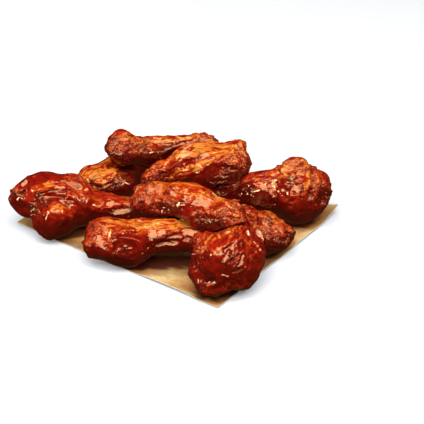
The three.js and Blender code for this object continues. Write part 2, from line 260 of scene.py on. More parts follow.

# %% [markdown]
# ## Marks placed one by one
#
# A recipe gives every wing the same mixture, but a real serving has accidents: a pool of sauce here, a burnt
# patch there, a fold that catches the light. A food stylist would point at the picture and say where. The
# script does the same. Each mark is a row of spots in the camera's picture, in pixels from its upper left
# corner, and a radius in millimetres. A ray from the camera finds each spot on the imported solid, so a mark
# sits on the wing itself and stays there from any side.
#
# Some kinds change the colour: gold bares the roasted skin, glow bares it a little and paints light on it,
# char burns it, and shade paints shade into it, as deep in the pile, and calms it. Some change the relief:
# crags, ridge, dip, and pool for thick sauce. The others tilt the skin until it mirrors one thing: shine the
# middle of the main light, gleam its edge, glint the strip on the left, spark the one on the right, and steep
# the dark beneath.

# %% What a stylist would place
MARKS = {
    "drumette_left": {
        "glint": [(1, (31, 211), (34, 207)), (1, (12, 191), (16, 189))],
        "steep": [(5, (48, 195), (62, 194))],
        "shade": [(6, (62, 228), (92, 226)), (3, (92, 216), (112, 216)), (3, (16, 200), (22, 204))],
        "pool": [
            (5, (26, 184), (44, 177), (58, 174)), (5, (16, 202), (24, 208)), (5, (50, 194), (62, 194)),
            (6, (44, 224), (56, 230)),
        ],
        "shine": [
            (1, (54, 187), (66, 186)), (2, (67, 183), (80, 187)), (1, (22, 184), (26, 181)),
            (2, (107, 202), (118, 204)), (3, (115, 212), (127, 211)), (1, (84, 190), (87, 189)),
        ],
        "gleam": [(2, (15, 191), (22, 193))],
        "gold": [(2, (34, 189), (44, 186), (52, 184))],
        "glow": [(5, (58, 211), (68, 211)), (3, (94, 206), (104, 206))],
        "crags": [(3, (64, 180), (80, 182)), (3, (30, 206), (34, 211))],
        "char": [(3, (38, 196), (46, 204)), (2, (30, 207), (34, 212)), (2, (12, 193), (20, 194))],
        "ridge": [
            (1, (64, 200), (69, 195)), (1, (72, 197), (84, 206)), (1, (84, 208), (88, 196)),
            (2, (34, 191), (52, 187)),
        ],
        "dip": [(3, (34, 200), (38, 214)), (2, (92, 200), (98, 202))],
    },
    "flat_back_left": {
        "shade": [(5, (116, 186), (136, 187)), (7, (126, 170), (132, 188)), (3, (118, 192), (106, 194))],
        "gold": [(5, (86, 177), (108, 175))],
        "glow": [(5, (84, 170), (106, 162))],
        "crags": [(5, (92, 187), (114, 182))],
        "ridge": [(1, (86, 182), (100, 183), (112, 180))],
        "shine": [(1, (94, 187), (100, 187)), (1, (104, 186), (110, 184))],
    },
    "drumette_right": {
        "shade": [
            (7, (218, 190), (244, 194)), (4, (262, 205), (286, 216)), (6, (240, 200), (274, 204)),
            (3, (284, 214), (300, 220)),
        ],
        "pool": [
            (4, (222, 190), (240, 193)), (4, (280, 186), (286, 192)), (6, (244, 190), (262, 196)),
            (6, (292, 210), (306, 208)),
        ],
        "glint": [
            (1, (253, 191), (259, 190)), (1, (265, 182), (265, 187)), (2, (270, 190), (275, 180)),
            (1, (291, 180), (296, 177)),
        ],
        "ridge": [
            (3, (292, 160), (304, 160)), (2, (316, 172), (318, 186), (313, 200)), (2, (318, 174), (324, 184)),
            (2, (308, 172), (308, 184), (303, 196)), (1, (278, 166), (284, 172), (292, 172)),
            (2, (284, 200), (292, 195), (298, 196)),
        ],
        "dip": [
            (2, (288, 166), (294, 172), (297, 180)), (2, (286, 196), (294, 206), (302, 210)),
            (2, (278, 172), (280, 164)), (2, (309, 160), (312, 168)), (2, (280, 177), (292, 178), (300, 181)),
            (2, (312, 176), (311, 190), (309, 202)), (2, (300, 190), (302, 186)),
            (2, (275, 176), (277, 190), (272, 202)),
        ],
        "steep": [(7, (230, 187), (248, 190)), (5, (252, 196), (266, 200)), (4, (296, 204), (306, 202))],
        "crags": [(5, (284, 166), (304, 164)), (5, (316, 180), (324, 196))],
        "gold": [(4, (286, 168), (306, 168)), (2, (308, 174), (307, 184), (303, 195))],
        "glow": [(4, (260, 182), (272, 178)), (3, (284, 200), (294, 198))],
        "shine": [(1, (260, 174), (263, 174)), (2, (282, 170), (290, 168))],
        "char": [(2, (290, 179), (294, 183)), (1, (301, 188), (303, 188))],
    },
    "flat_front_left": {
        "glint": [(1, (91, 241), (94, 236)), (1, (108, 240), (110, 232)), (1, (104, 244), (108, 243))],
        "steep": [(7, (120, 243), (140, 243))],
        "shade": [(4, (150, 256), (184, 254)), (3, (108, 258), (130, 264))],
        "gold": [(3, (108, 223), (130, 223)), (3, (132, 226), (160, 223), (186, 223))],
        "pool": [(8, (122, 242), (140, 244)), (4, (92, 251), (104, 253)), (3, (162, 250), (184, 246))],
        "shine": [
            (3, (151, 235), (158, 236)), (2, (159, 233), (168, 234)), (2, (169, 235), (179, 237)),
            (2, (184, 231), (192, 234)), (2, (158, 244), (175, 243)), (4, (96, 238), (102, 243)),
            (2, (104, 230), (107, 232)),
        ],
        "ridge": [
            (1, (110, 230), (112, 236), (110, 245)), (1, (82, 240), (86, 246)),
            (1, (114, 235), (122, 231), (132, 230)), (1, (150, 240), (166, 238), (180, 238)),
        ],
        "dip": [(2, (113, 238), (114, 250)), (2, (122, 246), (126, 251)), (2, (160, 240), (178, 239))],
        "crags": [(3, (92, 226), (102, 228))],
        "char": [(2, (122, 247), (126, 251))],
    },
    "flat_right_front": {
        "shade": [(2, (270, 244), (280, 246))],
        "gold": [(2, (272, 214), (276, 221))],
        "crags": [(9, (264, 222), (286, 238))],
        "shine": [(1, (262, 222), (268, 226))],
        "ridge": [(1, (276, 226), (284, 236))],
        "dip": [(2, (270, 230), (276, 238))],
    },
    "drumette_front": {
        "pool": [
            (6, (222, 262), (236, 246)), (5, (210, 258), (222, 268)), (5, (246, 272), (258, 264)),
            (4, (214, 244), (232, 232)), (3, (246, 229), (252, 238), (260, 250)),
        ],
        "glint": [(1, (194, 254), (198, 250)), (2, (208, 283), (215, 281))],
        "spark": [(1, (246, 230), (251, 239)), (1, (253, 241), (259, 250)), (1, (256, 230), (263, 241))],
        "shade": [(3, (186, 246), (190, 252)), (2, (206, 278), (214, 279))],
        "gold": [(2, (201, 250), (208, 241)), (3, (214, 236), (238, 226))],
        "glow": [
            (5, (250, 264), (261, 257)), (4, (214, 246), (226, 238)), (3, (206, 288), (226, 286), (242, 282)),
        ],
        "gleam": [
            (2, (222, 264), (226, 255)), (3, (229, 250), (237, 240)), (1, (230, 261), (243, 251)),
            (1, (233, 271), (245, 267)),
        ],
        "shine": [
            (1, (224, 262), (228, 252)), (1, (231, 248), (236, 239)), (1, (238, 266), (243, 255)),
            (1, (222, 273), (228, 277)), (1, (222, 234), (236, 228)),
        ],
        "ridge": [
            (1, (243, 228), (250, 236), (255, 244), (262, 253)), (1, (256, 229), (264, 237), (268, 242)),
            (1, (258, 242), (262, 247), (264, 252)), (2, (192, 272), (199, 283), (203, 292)),
            (2, (204, 284), (212, 281), (220, 280)), (2, (206, 291), (215, 293), (226, 289)),
            (2, (240, 288), (250, 282), (254, 276)), (1, (196, 252), (204, 254), (212, 254)),
        ],
        "dip": [
            (2, (206, 276), (212, 279)), (2, (214, 287), (224, 284)), (3, (230, 279), (238, 282)),
            (1, (247, 227), (256, 238), (263, 250)), (2, (190, 262), (196, 268)),
        ],
        "crags": [(4, (198, 244), (206, 254))],
    },
    "flat_centre": {
        "ridge": [
            (2, (140, 194), (150, 190)), (2, (145, 198), (147, 213)), (2, (156, 198), (158, 214)),
            (1, (136, 198), (137, 208)),
        ],
        "dip": [
            (1, (152, 196), (162, 200)), (2, (141, 198), (142, 212)), (2, (151, 198), (152, 214)),
            (2, (196, 210), (197, 222)),
        ],
        "glint": [(1, (135, 192), (138, 187)), (1, (140, 200), (143, 195))],
        "shade": [(4, (134, 215), (178, 218)), (3, (160, 207), (176, 212)), (3, (200, 224), (220, 225))],
        "crags": [
            (6, (138, 191), (158, 192)), (4, (164, 198), (174, 206)), (6, (202, 216), (224, 218)),
            (4, (228, 208), (238, 212)),
        ],
        "glow": [(5, (156, 185), (182, 185), (216, 196))],
        "gold": [(2, (176, 189), (192, 193))],
        "pool": [(3, (180, 204), (200, 206))],
        "shine": [
            (2, (168, 192), (180, 196)), (3, (183, 197), (195, 199)), (4, (197, 201), (208, 203)),
            (1, (212, 192), (218, 194)), (1, (226, 203), (230, 207)), (2, (148, 190), (160, 189)),
        ],
    },
    "flat_right": {
        "glint": [(1, (229, 161), (233, 157)), (1, (210, 160), (213, 157))],
        "ridge": [
            (2, (240, 143), (243, 143)), (1, (236, 146), (247, 158)), (1, (174, 159), (186, 155), (200, 155)),
            (1, (169, 179), (180, 171), (192, 167)), (1, (181, 179), (192, 171), (204, 166), (214, 160)),
            (1, (162, 168), (170, 158)), (1, (166, 174), (174, 168)),
        ],
        "dip": [
            (2, (246, 149), (249, 152)), (1, (176, 175), (188, 170)), (1, (172, 167), (184, 160), (200, 158)),
            (1, (206, 157), (200, 159)),
        ],
        "steep": [(3, (172, 164), (192, 160)), (5, (204, 176), (222, 170))],
        "shade": [(5, (208, 186), (236, 179))],
        "pool": [(3, (206, 184), (220, 183)), (3, (174, 164), (194, 159)), (4, (192, 178), (214, 168))],
        "crags": [(5, (236, 152), (244, 166)), (3, (150, 176), (160, 176)), (4, (224, 172), (242, 168))],
        "gold": [
            (4, (196, 151), (208, 143)), (2, (173, 158), (184, 153), (198, 153)),
            (2, (170, 178), (180, 170), (191, 167)), (2, (181, 178), (190, 172), (209, 160)),
        ],
        "glow": [(5, (180, 152), (200, 144), (228, 150))],
        "shine": [
            (2, (176, 156), (186, 153), (197, 154)), (1, (184, 148), (190, 145)), (1, (163, 166), (170, 158)),
            (1, (196, 164), (201, 166)), (1, (226, 163), (229, 160)),
        ],
    },
    "flat_top": {
        "glint": [(1, (112, 148), (114, 140)), (1, (117, 150), (119, 146)), (1, (150, 138), (160, 138))],
        "shade": [(5, (112, 158), (130, 161), (150, 158), (168, 151)), (1, (172, 144), (184, 142))],
        "crags": [(6, (112, 142), (114, 156)), (4, (124, 140), (144, 146))],
        "gold": [(1, (144, 139), (170, 140), (198, 136))],
        "glow": [(4, (124, 136), (150, 138), (176, 136))],
        "gleam": [(1, (150, 141), (168, 141)), (1, (172, 139), (190, 138))],
        "shine": [(1, (201, 139), (211, 140))],
        "ridge": [(1, (142, 141), (170, 141), (200, 137))],
        "dip": [(1, (172, 144), (192, 140))],
        "char": [(1, (139, 144), (143, 146))],
    },
}


# %% From the picture to the wing
def solid_tree(name):
    """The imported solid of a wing, ready for rays and distances."""
    solid = bmesh.new()
    solid.from_mesh(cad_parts[name].data)
    tree = BVHTree.FromBMesh(solid)
    solid.free()
    return tree


SOLIDS = {name: solid_tree(name) for name in LOOKS}
MM_PER_PIXEL = DISTANCE / FOCAL_PIXELS / MM
CURVE = 5.0                                 # millimetres of depth that a mark follows round a wing


def ray_through(spot):
    """The direction in which the camera sees a spot of its picture."""
    right, down = np.add(spot, 0.5) - PICTURE_SIDE / 2
    ray = Vector((right, -down, -FOCAL_PIXELS)).normalized()
    ray.rotate(camera.rotation_euler)
    return ray


def on_wing(name, spot):
    """The point of a wing that the camera sees at a spot of its picture, in millimetres. A spot just beside
    the wing gives the nearest point of its edge."""
    ray = ray_through(spot)
    place = SOLIDS[name].ray_cast(camera.location, ray)[0]
    if place is None:
        low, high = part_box(name)
        depth = ((low + high) / 2 - camera.location).dot(ray)
        place = SOLIDS[name].find_nearest(camera.location + depth * ray)[0]
    return np.array(place) / MM


def in_picture(points):
    """Where the camera sees points given in millimetres: pixels to the right and down, and the depth."""
    turn = np.array(camera.rotation_euler.to_matrix())
    right, up, back = ((points - np.array(camera.location) / MM) @ turn).T
    middle = PICTURE_SIDE / 2 - 0.5
    return np.stack([middle - FOCAL_PIXELS * right / back, middle + FOCAL_PIXELS * up / back], 1), -back


def beside(points, start, end):
    """How far along a stretch each point lies, from 0 at its start to 1 at its end, and how far beside it."""
    span = end - start
    share = np.clip((points - start) @ span / (span @ span), 0, 1)
    return share, np.linalg.norm(points - start - share[:, None] * span, axis=1)


def strokes(name, kind, points):
    """For each mark of one kind on a wing: its radius, its middle, and how far every point is from it. The
    distance is taken across the line of sight, and also along it where that is more than the wing's curve."""
    seen, depth = in_picture(points)
    for radius, *spots in MARKS[name].get(kind, ()):
        places = np.array([on_wing(name, spot) for spot in spots])
        place_depths = in_picture(places)[1]
        gap = np.full(len(points), np.inf)
        for n in range(len(spots) - 1):
            share, across = beside(seen, np.array(spots[n]), np.array(spots[n + 1]))
            behind = depth - place_depths[n] - share * (place_depths[n + 1] - place_depths[n])
            away = np.hypot(across * MM_PER_PIXEL, np.maximum(0, np.abs(behind) - CURVE))
            gap = np.minimum(gap, away)
        yield radius, places.mean(0), gap


print("marks:", sum(len(rows) for kinds in MARKS.values() for rows in kinds.values()))

# %% How a mark fades at its edge
# An edge says how many radii from its middle a mark begins to show, and shows in full.
SHARP_EDGE = (1.12, 0.88)
SOFT_EDGE = (1.5, 0.5)
JAGGED = 0.6                                # how uneven a sharp edge is, in radii
FOLD = {"width": 0.7, "power": 1.5}         # a raised fold falls off within this share of its radius


def marked(w, kind):
    """1 inside this wing's marks of one kind and 0 outside, with an uneven edge."""
    inside = np.zeros(len(w.points))
    for radius, _, gap in strokes(w.name, kind, w.points):
        inside = np.maximum(inside, ease(gap / radius + JAGGED * w.jagged, *SHARP_EDGE))
    return inside


def blurred(w, kind):
    """1 inside this wing's marks of one kind, fading out over their own radius."""
    inside = np.zeros(len(w.points))
    for radius, _, gap in strokes(w.name, kind, w.points):
        inside = np.maximum(inside, ease(gap / radius, *SOFT_EDGE))
    return inside


def raised(w, kind, points):
    """1 along this wing's marks of one kind, falling off to both sides as a fold of skin does."""
    height = np.zeros(len(points))
    for radius, _, gap in strokes(w.name, kind, points):
        height = np.maximum(height, np.exp(-(gap / radius / FOLD["width"]) ** FOLD["power"]))
    return height


# %% [markdown]
# ## Highlights where they belong
#
# A glossy surface shows the camera a light wherever it faces halfway between the two. On random relief that
# happens at random. So inside some marks the skin is pressed towards a plane that faces just that way, and the
# highlight appears there. The relief keeps a small ripple, which breaks up the edges of the reflection as real
# skin does.

# %% Skin that mirrors a light
KEY = (0, 70)                               # degrees round from the camera, and up
LEFT_STRIP = (-65, 35)
RIGHT_STRIP = (65, 45)
KEY_EDGE = (0, 48)
BELOW_FLOOR = (0, -3)
TURN = {"jagged": 0.8, "limit": 2.2}        # how uneven its edge is, and how far out it may go


def from_camera(turn, elevation):
    """A direction from the pile, turned this far from the camera and raised this far, in degrees."""
    return towards(AZIMUTH + math.radians(turn), math.radians(elevation))


def halfway(turn, elevation):
    """The direction that skin must face to show the camera what lies that way."""
    both = towards(AZIMUTH, ELEVATION) + from_camera(turn, elevation)
    return both / np.linalg.norm(both)


# What each kind faces, how far in the skin may go, how flat it becomes, and how soft its edge is. They are
# pressed in this order.
FACING = {
    "steep": (halfway(*BELOW_FLOOR), 1.5, 0.8, 0.8),
    "gleam": (halfway(*KEY_EDGE), 2.2, 0.5, 0.4),
    "shine": (halfway(*KEY), 2.2, 0.0, 0.4),
    "glint": (halfway(*LEFT_STRIP), 1.2, 0.9, 0.4),
    "spark": (halfway(*RIGHT_STRIP), 1.2, 0.9, 0.4),
}


def turned(w, kind, moved, ripple):
    """Tilts the skin inside this wing's marks of one kind, so that it faces the way this kind does."""
    facing, inward, steadiness, softness = FACING[kind]
    for radius, middle, gap in strokes(w.name, kind, moved):
        inside = ease(gap / radius + TURN["jagged"] * w.jagged, 1 + softness, 1 - softness)
        height = np.clip((moved - middle) @ facing, -TURN["limit"], inward) + (1 - steadiness) * ripple
        moved = moved - (inside * height)[:, None] * facing
    return moved


print("main light mirrored by skin that faces", halfway(*KEY).round(2))

# %% [markdown]
# ## One wing, step by step
#
# All sizes from here on are in millimetres, and a size of three numbers runs along the wing and twice across
# it. The steps hand on what they know of the wing's points in one bundle: first its fine mesh and its own
# directions, then where it is craggy or pooled, then its relief, and at last the masks for its colours. Most
# noises add a number of their own to the wing's seed, so that one kind of relief doesn't follow another.

# %% A wing laid out for its skin
REACH = 3.0                                 # how far a neighbour is looked for
BEND = {"size": 7.0, "by": 1.6}             # keeps the creases from running straight
JAG_SIZE = np.array([7.0, 3.0, 3.0])
SPREAD_SIZE = 12.0


def in_wing_directions(points):
    """The points seen from the wing's middle: along it, and twice across it."""
    centred = points - points.mean(0)
    _, directions = np.linalg.eigh(centred.T @ centred)
    return centred @ directions[:, ::-1]


def clearance(name, points):
    """The distance from each point to the nearest other wing's solid, up to the reach."""
    low, high = points.min(0) - REACH, points.max(0) + REACH
    nearest = np.full(len(points), REACH)
    for other in LOOKS:
        other_low, other_high = (np.array(corner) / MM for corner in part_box(other))
        if other == name or np.any(other_low > high) or np.any(other_high < low):
            continue
        close = np.all((points > other_low - REACH) & (points < other_high + REACH), 1)
        for i in np.flatnonzero(close):
            hit = SOLIDS[other].find_nearest(Vector(points[i]) * MM, REACH * MM)
            if hit[3] is not None:
                nearest[i] = min(nearest[i], hit[3] / MM)
    return nearest


def noises(points, size, seed):
    """Three draws of noise, as a small shift for each point."""
    return np.stack([noise(points, size, seed + n) for n in range(3)], 1)


def lay_out(name):
    """A fine mesh over a wing's solid, and what the next steps need to know of its points."""
    w = SimpleNamespace(name=name, look=LOOKS[name], seed=LOOKS[name].seed)
    w.piece = fine_copy(name, "wing_" + name)
    w.mesh = w.piece.data
    w.points = read_vectors(w.mesh.vertices, "co") / MM
    w.normals = read_vectors(w.mesh.vertex_normals, "vector")
    w.local = in_wing_directions(w.points)
    w.warped = w.local + BEND["by"] * noises(w.local, BEND["size"], w.seed)
    w.jagged = layered(w.warped, JAG_SIZE, w.seed + 13)
    w.spread = layered(w.local, SPREAD_SIZE, w.seed + 5)
    w.room = clearance(name, w.points)
    return w


# %% Where the skin is broken, and where sauce lies thick
ROUGH = {"from": 0.95, "to": 1.25, "reach": 0.75, "uneven": 0.9}    # in half lengths from the middle
# share: how full a random pool is. keeps: what is left of the finer relief under a full one.
POOL = {"size": 11.0, "edge": 0.15, "share": 0.85, "depth": 0.35, "keeps": 0.3, "level": 0.9, "rounds": 50}


def find_zones(w):
    """Crags spread from the ends of a wing and over their marks. Sauce pools between them."""
    along = np.abs(w.local[:, 0]) / np.abs(w.local[:, 0]).max()
    reach = ROUGH["reach"] * w.look.rough
    rough = ease(along + ROUGH["uneven"] * w.spread, ROUGH["from"] - reach, ROUGH["to"] - reach)
    rough = np.maximum(rough, marked(w, "crags"))
    ponds = ease(layered(w.local, POOL["size"], w.seed + 6), 0.0, POOL["edge"])
    w.thick = marked(w, "pool")
    w.pooled = np.maximum(POOL["share"] * ponds * (1 - rough), w.thick)
    w.rough = rough * (1 - w.pooled)


# %% Relief of the skin
FOLD_SIZE = np.array([15.0, 3.8, 3.8])
WRINKLE_SIZE = np.array([8.0, 6.0, 6.0])
CRAG_SIZE = 2.6
BLISTER_SIZE = 1.4
KNUCKLE_SIZE = 5.5
PATCH = {"size": 6.0, "edge": 0.35, "least": 0.35, "more": 0.9}     # broken skin comes in patches
# The middle of each kind is taken off, so that it dips as well as rises.
MIDDLE = {"fold": 0.5, "wrinkle": 0.5, "crag": 0.45, "blister": 0.55, "bump": 0.5}
BROKEN = {"crag": 0.6, "blister": 0.35, "knuckle": 0.65}
BUMP = {"size": 1.5, "height": 0.13}
SWELL = {"size": 9.0, "height": 0.5}
RIDGE = {"height": 1.3, "dip": 0.9, "sway": 0.8, "sway_size": 5.0}
CALM = {"crags": 0.5, "shine": 0.7, "shade": 0.6}   # crags flatten the folds, the other two all relief


def find_relief(w):
    """How far the skin rises or dips at each point, and never more than half way to a neighbour's solid."""
    w.fold = creases(w.warped, FOLD_SIZE, w.seed + 1) - MIDDLE["fold"]
    wrinkle = creases(w.warped, WRINKLE_SIZE, w.seed + 16, 2) - MIDDLE["wrinkle"]
    crag = creases(w.warped, CRAG_SIZE, w.seed + 2, 2) - MIDDLE["crag"]
    blister = MIDDLE["blister"] - cell_distance(w.warped, BLISTER_SIZE, w.seed + 12)
    knuckle = noise(w.warped, KNUCKLE_SIZE, w.seed + 15)
    bump = MIDDLE["bump"] - cell_distance(w.local, BUMP["size"], w.seed + 3)
    patches = ease(layered(w.local, PATCH["size"], w.seed + 18), -PATCH["edge"], PATCH["edge"])
    broken = BROKEN["crag"] * crag + BROKEN["blister"] * blister
    broken = broken * (PATCH["least"] + PATCH["more"] * patches) + BROKEN["knuckle"] * knuckle
    film = 1 - (1 - POOL["keeps"]) * w.pooled
    relief = (w.look.folds * w.fold + w.look.wrinkles * wrinkle) * film * (1 - CALM["crags"] * w.rough)
    relief += w.look.crags * broken * w.rough
    swayed = w.points + RIDGE["sway"] * noises(w.points, RIDGE["sway_size"], w.seed + 40)
    relief += RIDGE["height"] * (raised(w, "ridge", swayed) - RIDGE["dip"] * raised(w, "dip", swayed))
    relief += BUMP["height"] * bump * film
    relief += SWELL["height"] * noise(w.local, SWELL["size"], w.seed + 4)
    relief *= 1 - CALM["shine"] * marked(w, "shine")
    w.shaded = blurred(w, "shade")
    relief *= 1 - CALM["shade"] * w.shaded
    w.relief = np.minimum(relief, w.room / 2)


# %% Moving the skin
RIPPLE = {"size": np.array([5.0, 1.7, 1.7]), "height": 0.12}
NEAR = 0.6                                  # a neighbour within this share of the reach holds the skin back
TUCK = {"from": 5.0, "to": 0.5, "by": 1.3}  # the rim curves in under the wing
SINK = {"from": 3.0, "to": 1.2, "by": 0.55}   # and the underside settles onto the sheet
LOWEST = 0.5                                # a tenth of a millimetre above the paper


def level(mesh, values, share, rounds):
    """Moves each vertex's values towards the middle of its neighbours' again and again, as sauce finds its
    level."""
    ends = np.empty(len(mesh.edges) * 2, np.int64)
    mesh.edges.foreach_get("vertices", ends)
    first, second = ends.reshape(-1, 2).T
    many = len(values)
    neighbours = np.bincount(ends, minlength=many)
    for _ in range(rounds):
        middle = np.empty_like(values)
        for column in range(values.shape[1]):
            total = np.bincount(first, values[second, column], many)
            total += np.bincount(second, values[first, column], many)
            middle[:, column] = total / neighbours
        values = values + share * (middle - values)
    return values


def move_skin(w):
    """Gives the mesh its relief, its level pools and its highlights. Where a neighbour is near, the skin is
    then brought back along its own normal, to half of the room. Two pairs of skins still cross a little at
    their tightest contact, by less than a third of a millimetre."""
    moved = w.points + w.normals * w.relief[:, None]
    moved = level(w.mesh, moved, POOL["level"] * w.pooled[:, None], POOL["rounds"])
    moved = moved + w.normals * (POOL["depth"] * w.pooled)[:, None]
    ripple = RIPPLE["height"] * layered(w.warped, RIPPLE["size"], w.seed + 22, 2)
    for kind in FACING:
        moved = turned(w, kind, moved, ripple)
    outward = np.sum((moved - w.points) * w.normals, 1)
    space = w.room / 2 + REACH * ease(w.room, NEAR * REACH, REACH)
    moved = moved - w.normals * np.maximum(0, outward - space)[:, None]
    tucked = TUCK["by"] * ease(w.points[:, 2], TUCK["from"], TUCK["to"])
    moved[:, :2] -= w.normals[:, :2] * tucked[:, None]
    moved[:, 2] -= SINK["by"] * ease(w.points[:, 2], SINK["from"], SINK["to"])
    moved[:, 2] = np.maximum(moved[:, 2], LOWEST)
    w.mesh.vertices.foreach_set("co", (moved * MM).ravel())
    w.mesh.update()


# %% Masks for the colours
# An edge is a pair: where a mask is still 0, and where it reaches 1.
STREAK_SIZE = np.array([9.0, 2.4, 2.4])
UPWARD = {"uneven": 0.3, "edge": (0.1, 1.0)}
BARE = {"gold": 0.5, "glow": 0.22}          # how much skin each kind of mark bares; glow is partly painted light
ROAST = {"under_sauce": 0.7, "least": 0.75, "streaks": 0.9, "folds": 0.4}
CRUMBS = {"size": 1.5, "edge": (0.3, 0.18)}   # golden, on the crags
SPOTS = {"size": 2.2, "edge": (0.22, 0.12), "patches": 8.0, "patch_edge": (-0.1, 0.5)}
BURNT = {"size": 1.6, "edge": (0.3, 0.6)}
SINGED = {"size": 5.0, "edge": (0.35, 0.7), "share": 0.6}
# Shade is painted darker near a neighbour, low down on faces that turn down, and inside shade marks.
PAINTED_SHADE_EDGES = {"gap": (2.2, 0.4), "height": (9.0, 1.0), "downward": (0.1, -0.6), "shade": 0.9}
DETAIL = {"level": 0.8, "rounds": 12, "bare_and_lit_crest": (0.03, 0.14), "crease_shade": (-0.04, -0.2), "below": 0.35}


def keep_masks(w):
    """What the material reads at each point, 0 to 1: bare, burnt, craggy, wet, and painted light and shade."""
    height, up = w.points[:, 2], w.normals[:, 2]
    streak = layered(w.warped, STREAK_SIZE, w.seed + 8)
    upward = ease(up + UPWARD["uneven"] * w.spread, *UPWARD["edge"])
    golden = sum(share * marked(w, kind) for kind, share in BARE.items())
    roast = w.look.roast * upward * (1 - ROAST["under_sauce"] * w.thick) + golden
    roast = roast * (ROAST["least"] + ROAST["streaks"] * streak + ROAST["folds"] * w.fold)
    crumbs = ease(cell_distance(w.warped, CRUMBS["size"], w.seed + 19), *CRUMBS["edge"]) * w.rough
    spots = ease(cell_distance(w.local, SPOTS["size"], w.seed + 9), *SPOTS["edge"])
    spots = spots * ease(layered(w.local, SPOTS["patches"], w.seed + 10), *SPOTS["patch_edge"])
    burnt = marked(w, "char") * ease(cell_distance(w.local, BURNT["size"], w.seed + 14), *BURNT["edge"])
    singed = SINGED["share"] * w.rough * ease(layered(w.local, SINGED["size"], w.seed + 11), *SINGED["edge"])
    char = np.maximum(np.maximum(spots, burnt), singed)
    # painted shade under a wing: low down, on faces that turn downward
    beneath = ease(height, *PAINTED_SHADE_EDGES["height"]) * ease(up, *PAINTED_SHADE_EDGES["downward"])
    painted_shade = np.maximum(np.maximum(ease(w.room, *PAINTED_SHADE_EDGES["gap"]), beneath), PAINTED_SHADE_EDGES["shade"] * w.shaded)
    detail = w.relief - level(w.mesh, w.relief[:, None], DETAIL["level"], DETAIL["rounds"])[:, 0]
    # lighter on the crests, most where they face up: partly bared skin, partly painted light
    bare_and_lit_crest = ease(detail, *DETAIL["bare_and_lit_crest"]) * (DETAIL["below"] + (1 - DETAIL["below"]) * upward)
    # painted shade in the hollows of the small relief
    masks = {"bare_and_lit_crest": bare_and_lit_crest, "crease_shade": ease(detail, *DETAIL["crease_shade"]), "rough": w.rough, "pooled": w.pooled}
    masks |= {"roast": np.clip(roast, 0, 1), "char": np.clip(char, 0, 1), "speck": crumbs, "painted_shade": painted_shade}
    for name, values in masks.items():
        write_mask(w.mesh, name, values)


# %% Nine dressed wings
def dress_wing(name):
    """The finished piece that stands for one wing's plain solid."""
    w = lay_out(name)
    find_zones(w)
    find_relief(w)
    move_skin(w)
    keep_masks(w)
    w.mesh.polygons.foreach_set("use_smooth", np.ones(len(w.mesh.polygons), bool))
    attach(w.piece, BODY)
    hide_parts(name)
    print(f"{name}: {len(w.mesh.polygons)} faces, relief {w.relief.min():.2f} to {w.relief.max():.2f} mm")
    return w.piece


wings = [dress_wing(name) for name in LOOKS]

# %% [markdown]
# ## Shader sums
#
# A material is a sum over values that change across the surface. Written as nodes it is hard to read, so one
# small class lets a socket stand in a Python expression: adding two sockets adds the Math node that does it.

# %% Sockets in expressions
class Wire:
    """One output socket of a node, usable in sums."""

    def __init__(self, nodes, socket):
        self.nodes = nodes
        self.socket = socket

    def sum(self, operation, first, second):
        return self.nodes.node("ShaderNodeMath", {"operation": operation}, {0: first, 1: second})

    def __add__(self, other):
        return self.sum("ADD", self, other)

    def __sub__(self, other):
        return self.sum("SUBTRACT", self, other)

    def __rsub__(self, other):
        return self.sum("SUBTRACT", other, self)

    def __mul__(self, other):
        return self.sum("MULTIPLY", self, other)

    __radd__ = __add__
    __rmul__ = __mul__


class Nodes:
    """A tree of shader nodes under construction."""

    def __init__(self, tree):
        self.tree = tree

    def connect(self, socket, value):
        if isinstance(value, Wire):
            self.tree.links.new(value.socket, socket)
        else:
            socket.default_value = value

    def node(self, kind, settings, inputs, output=0):
        """Any node: its type, its settings, what goes into its sockets, and the socket that comes out."""
        made = self.tree.nodes.new(kind)
        for key, value in settings.items():
            setattr(made, key, value)
        by_name = {socket.identifier: socket for socket in made.inputs}
        for key, value in inputs.items():
            self.connect(made.inputs[key] if isinstance(key, int) else by_name[key], value)
        return Wire(self, made.outputs[output])

    def mask(self, name):
        return self.node("ShaderNodeAttribute", {"attribute_name": name}, {}, "Fac")

    def place(self):
        """The place of a point in the object's own space."""
        return self.node("ShaderNodeTexCoord", {}, {}, "Object")

    def mix(self, share, low, high):
        """A colour between low and high."""
        inputs = {"Factor_Float": share, "A_Color": low, "B_Color": high}
        return self.node("ShaderNodeMix", {"data_type": "RGBA"}, inputs, 2)

    def step(self, value, low, high):
        """0 below low, 1 above high, smooth between."""
        settings = {"interpolation_type": "SMOOTHSTEP"}
        return self.node("ShaderNodeMapRange", settings, {"Value": value, "From Min": low, "From Max": high})

    def ramp(self, value, stops):
        """A colour from a row of stops, each a place and a colour."""
        made = self.node("ShaderNodeValToRGB", {}, {"Fac": value})
        steps = made.socket.node.color_ramp.elements
        steps.remove(steps[1])
        steps[0].position, steps[0].color = stops[0]
        for place, shade in stops[1:]:
            steps.new(place).color = shade
        return made

    def grain(self, size, detail=2.0, place=None):
        """Noise from 0 to 1 with lumps of this size in metres, over the object's own space or another."""
        inputs = {"Vector": place or self.place(), "Scale": 1 / size, "Detail": detail}
        return self.node("ShaderNodeTexNoise", {}, inputs)

    def bump(self, height, distance, strength):
        inputs = {"Strength": strength, "Distance": distance, "Height": height}
        return self.node("ShaderNodeBump", {}, inputs)


class Shader(Nodes):
    """A material, built round one Principled shader."""

    def __init__(self, name):
        self.material = bpy.data.materials.new(name)
        self.material.use_nodes = True
        super().__init__(self.material.node_tree)
        self.surface = self.tree.nodes["Principled BSDF"]

    def finish(self, changing, constant):
        """Links what changes over the surface and sets what doesn't."""
        for key, value in {**changing, **constant}.items():
            self.connect(self.surface.inputs[key], value)
        return self.material


def colour(red, green, blue):
    """A colour given as on a screen, from 0 to 255, in the linear values that a shader wants."""
    shares = [value / 255 for value in (red, green, blue)]
    return [v / 12.92 if v <= 0.04045 else ((v + 0.055) / 1.055) ** 2.4 for v in shares] + [1.0]
